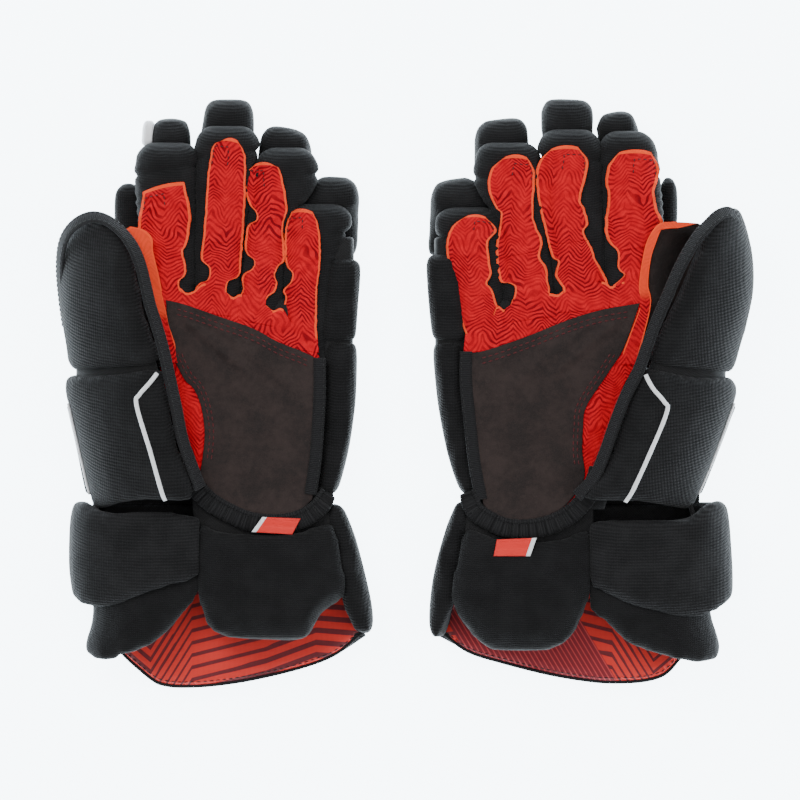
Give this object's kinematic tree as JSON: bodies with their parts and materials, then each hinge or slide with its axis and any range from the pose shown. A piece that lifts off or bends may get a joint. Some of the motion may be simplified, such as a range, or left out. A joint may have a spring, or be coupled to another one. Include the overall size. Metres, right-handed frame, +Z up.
{
  "type": "ice hockey gloves",
  "caption": "Pair of padded ice hockey gloves, palms up, with jointed fingers, thumbs, wrists and cuff flaps.",
  "frame": {"origin": "on the table, midway between the gloves and midway between the fingertips and the cuffs' ends", "axes": "+Z up from the table to the palms, +Y towards the fingertips, +X from the left glove to the right glove"},
  "size_m": [0.4132, 0.355, 0.07],
  "materials": {
    "palm_leather": "red suede with a darker wavy print",
    "finger_palm": "red suede strip between black knit walls",
    "patch_suede": "dark brown suede, worn",
    "binding": "ribbed elastic tape",
    "hand_knit": "matte knit over foam",
    "finger_knit": "matte knit over foam",
    "thumb_knit": "matte knit over foam",
    "thumb_suede": "dark suede with a red edge",
    "cuff_knit": "matte knit over foam",
    "flap_knit": "matte knit over foam",
    "cuff_print": "printed satin lining"
  },
  "bodies": {
    "left_hand": {"left_palm": "palm_leather", "left_palm_patch": "patch_suede", "left_wrist_binding": "binding", "left_knuckle_rolls": "hand_knit", "left_back_rolls": "hand_knit", "left_side_rolls": "hand_knit"},
    "left_index_base": {"left_index_base_roll": "finger_knit", "left_index_base_sleeve": "finger_palm"},
    "left_index_tip": {"left_index_tip_roll": "finger_knit", "left_index_tip_sleeve": "finger_palm"},
    "left_middle_base": {"left_middle_base_roll": "finger_knit", "left_middle_base_sleeve": "finger_palm"},
    "left_middle_tip": {"left_middle_tip_roll": "finger_knit", "left_middle_tip_sleeve": "finger_palm"},
    "left_ring_base": {"left_ring_base_roll": "finger_knit", "left_ring_base_sleeve": "finger_palm"},
    "left_ring_tip": {"left_ring_tip_roll": "finger_knit", "left_ring_tip_sleeve": "finger_palm"},
    "left_little_base": {"left_little_base_roll": "finger_knit", "left_little_base_sleeve": "finger_palm"},
    "left_little_tip": {"left_little_tip_roll": "finger_knit", "left_little_tip_sleeve": "finger_palm"},
    "left_thumb_base": {"left_thumb_base_roll": "thumb_knit", "left_thumb_base_lining": "thumb_suede"},
    "left_thumb_tip": {"left_thumb_tip_roll": "thumb_knit", "left_thumb_tip_lining": "thumb_suede"},
    "left_cuff": {"left_cuff_back": "cuff_knit", "left_cuff_lining": "cuff_print"},
    "left_wrist_flap": {"left_wrist_flap": "flap_knit"},
    "left_thumb_cuff": {"left_thumb_cuff": "cuff_knit"},
    "right_hand": {"right_palm": "palm_leather", "right_palm_patch": "patch_suede", "right_wrist_binding": "binding", "right_knuckle_rolls": "hand_knit", "right_back_rolls": "hand_knit", "right_side_rolls": "hand_knit"},
    "right_index_base": {"right_index_base_roll": "finger_knit", "right_index_base_sleeve": "finger_palm"},
    "right_index_tip": {"right_index_tip_roll": "finger_knit", "right_index_tip_sleeve": "finger_palm"},
    "right_middle_base": {"right_middle_base_roll": "finger_knit", "right_middle_base_sleeve": "finger_palm"},
    "right_middle_tip": {"right_middle_tip_roll": "finger_knit", "right_middle_tip_sleeve": "finger_palm"},
    "right_ring_base": {"right_ring_base_roll": "finger_knit", "right_ring_base_sleeve": "finger_palm"},
    "right_ring_tip": {"right_ring_tip_roll": "finger_knit", "right_ring_tip_sleeve": "finger_palm"},
    "right_little_base": {"right_little_base_roll": "finger_knit", "right_little_base_sleeve": "finger_palm"},
    "right_little_tip": {"right_little_tip_roll": "finger_knit", "right_little_tip_sleeve": "finger_palm"},
    "right_thumb_base": {"right_thumb_base_roll": "thumb_knit", "right_thumb_base_lining": "thumb_suede"},
    "right_thumb_tip": {"right_thumb_tip_roll": "thumb_knit", "right_thumb_tip_lining": "thumb_suede"},
    "right_cuff": {"right_cuff_back": "cuff_knit", "right_cuff_lining": "cuff_print"},
    "right_wrist_flap": {"right_wrist_flap": "flap_knit"},
    "right_thumb_cuff": {"right_thumb_cuff": "cuff_knit"}
  },
  "joints": [
    {"name": "left_index_knuckle", "type": "hinge", "parent": "left_hand", "child": "left_index_base", "pos_m": [-0.1395, 0.062, 0.0456], "axis": [1, 0, 0], "range_deg": [0, 70]},
    {"name": "left_index_bend", "type": "hinge", "parent": "left_index_base", "child": "left_index_tip", "pos_m": [-0.139, 0.113, 0.0456], "axis": [1, 0, 0], "range_deg": [0, 80]},
    {"name": "left_middle_knuckle", "type": "hinge", "parent": "left_hand", "child": "left_middle_base", "pos_m": [-0.111, 0.062, 0.0456], "axis": [0.9983, -0.0576, 0], "range_deg": [0, 70]},
    {"name": "left_middle_bend", "type": "hinge", "parent": "left_middle_base", "child": "left_middle_tip", "pos_m": [-0.1085, 0.119, 0.0456], "axis": [0.9983, -0.0576, 0], "range_deg": [0, 80]},
    {"name": "left_ring_knuckle", "type": "hinge", "parent": "left_hand", "child": "left_ring_base", "pos_m": [-0.0855, 0.058, 0.0456], "axis": [0.9962, -0.0872, 0], "range_deg": [0, 70]},
    {"name": "left_ring_bend", "type": "hinge", "parent": "left_ring_base", "child": "left_ring_tip", "pos_m": [-0.0805, 0.11, 0.0456], "axis": [0.9962, -0.0872, 0], "range_deg": [0, 80]},
    {"name": "left_little_knuckle", "type": "hinge", "parent": "left_hand", "child": "left_little_base", "pos_m": [-0.0475, 0.034, 0.0456], "axis": [1, 0, 0], "range_deg": [0, 70]},
    {"name": "left_little_bend", "type": "hinge", "parent": "left_little_base", "child": "left_little_tip", "pos_m": [-0.0462, 0.082, 0.0456], "axis": [1, 0, 0], "range_deg": [0, 80]},
    {"name": "left_thumb_open", "type": "hinge", "parent": "left_hand", "child": "left_thumb_base", "pos_m": [-0.2, -0.02, 0.01], "axis": [0, -1, 0], "range_deg": [0, 30]},
    {"name": "left_thumb_bend", "type": "hinge", "parent": "left_thumb_base", "child": "left_thumb_tip", "pos_m": [-0.17, 0.013, 0.0235], "axis": [-1, 0, 0], "range_deg": [0, 10], "stiffness_Nm_per_rad": 0.6},
    {"name": "left_wrist_bend", "type": "hinge", "parent": "left_hand", "child": "left_cuff", "pos_m": [-0.09, -0.066, 0.06], "axis": [1, 0, 0], "range_deg": [-25, 0]},
    {"name": "left_wrist_flap_open", "type": "hinge", "parent": "left_cuff", "child": "left_wrist_flap", "pos_m": [-0.082, -0.084, 0.053], "axis": [-1, 0, 0], "range_deg": [0, 40]},
    {"name": "left_thumb_cuff_open", "type": "hinge", "parent": "left_cuff", "child": "left_thumb_cuff", "pos_m": [-0.201, -0.1, 0.006], "axis": [0, -1, 0], "range_deg": [0, 45]},
    {"name": "right_index_knuckle", "type": "hinge", "parent": "right_hand", "child": "right_index_base", "pos_m": [0.1385, 0.062, 0.0456], "axis": [0.9997, 0.0262, 0], "range_deg": [0, 70]},
    {"name": "right_index_bend", "type": "hinge", "parent": "right_index_base", "child": "right_index_tip", "pos_m": [0.1372, 0.113, 0.0456], "axis": [0.9997, 0.0262, 0], "range_deg": [0, 80]},
    {"name": "right_middle_knuckle", "type": "hinge", "parent": "right_hand", "child": "right_middle_base", "pos_m": [0.10675, 0.062, 0.0456], "axis": [0.9997, 0.0262, 0], "range_deg": [0, 70]},
    {"name": "right_middle_bend", "type": "hinge", "parent": "right_middle_base", "child": "right_middle_tip", "pos_m": [0.105, 0.119, 0.0456], "axis": [0.9997, 0.0262, 0], "range_deg": [0, 80]},
    {"name": "right_ring_knuckle", "type": "hinge", "parent": "right_hand", "child": "right_ring_base", "pos_m": [0.078, 0.058, 0.0456], "axis": [0.9965, 0.0837, 0], "range_deg": [0, 70]},
    {"name": "right_ring_bend", "type": "hinge", "parent": "right_ring_base", "child": "right_ring_tip", "pos_m": [0.0702, 0.11, 0.0456], "axis": [0.9965, 0.0837, 0], "range_deg": [0, 80]},
    {"name": "right_little_knuckle", "type": "hinge", "parent": "right_hand", "child": "right_little_base", "pos_m": [0.03775, 0.034, 0.0456], "axis": [1, 0, 0], "range_deg": [0, 70]},
    {"name": "right_little_bend", "type": "hinge", "parent": "right_little_base", "child": "right_little_tip", "pos_m": [0.0362, 0.082, 0.0456], "axis": [1, 0, 0], "range_deg": [0, 80]},
    {"name": "right_thumb_open", "type": "hinge", "parent": "right_hand", "child": "right_thumb_base", "pos_m": [0.2, -0.02, 0.01], "axis": [0, 1, 0], "range_deg": [0, 30]},
    {"name": "right_thumb_bend", "type": "hinge", "parent": "right_thumb_base", "child": "right_thumb_tip", "pos_m": [0.17, 0.013, 0.0235], "axis": [-1, 0, 0], "range_deg": [0, 10], "stiffness_Nm_per_rad": 0.6},
    {"name": "right_wrist_bend", "type": "hinge", "parent": "right_hand", "child": "right_cuff", "pos_m": [0.09, -0.066, 0.06], "axis": [1, 0, 0], "range_deg": [-25, 0]},
    {"name": "right_wrist_flap_open", "type": "hinge", "parent": "right_cuff", "child": "right_wrist_flap", "pos_m": [0.082, -0.088, 0.053], "axis": [-1, 0, 0], "range_deg": [0, 40]},
    {"name": "right_thumb_cuff_open", "type": "hinge", "parent": "right_cuff", "child": "right_thumb_cuff", "pos_m": [0.201, -0.1, 0.006], "axis": [0, 1, 0], "range_deg": [0, 45]},
    {"name": "right_glove_lift", "type": "slide", "parent": "left_hand", "child": "right_hand", "axis": [0, 0, 1], "range_m": [0, 0.2]}
  ]
}
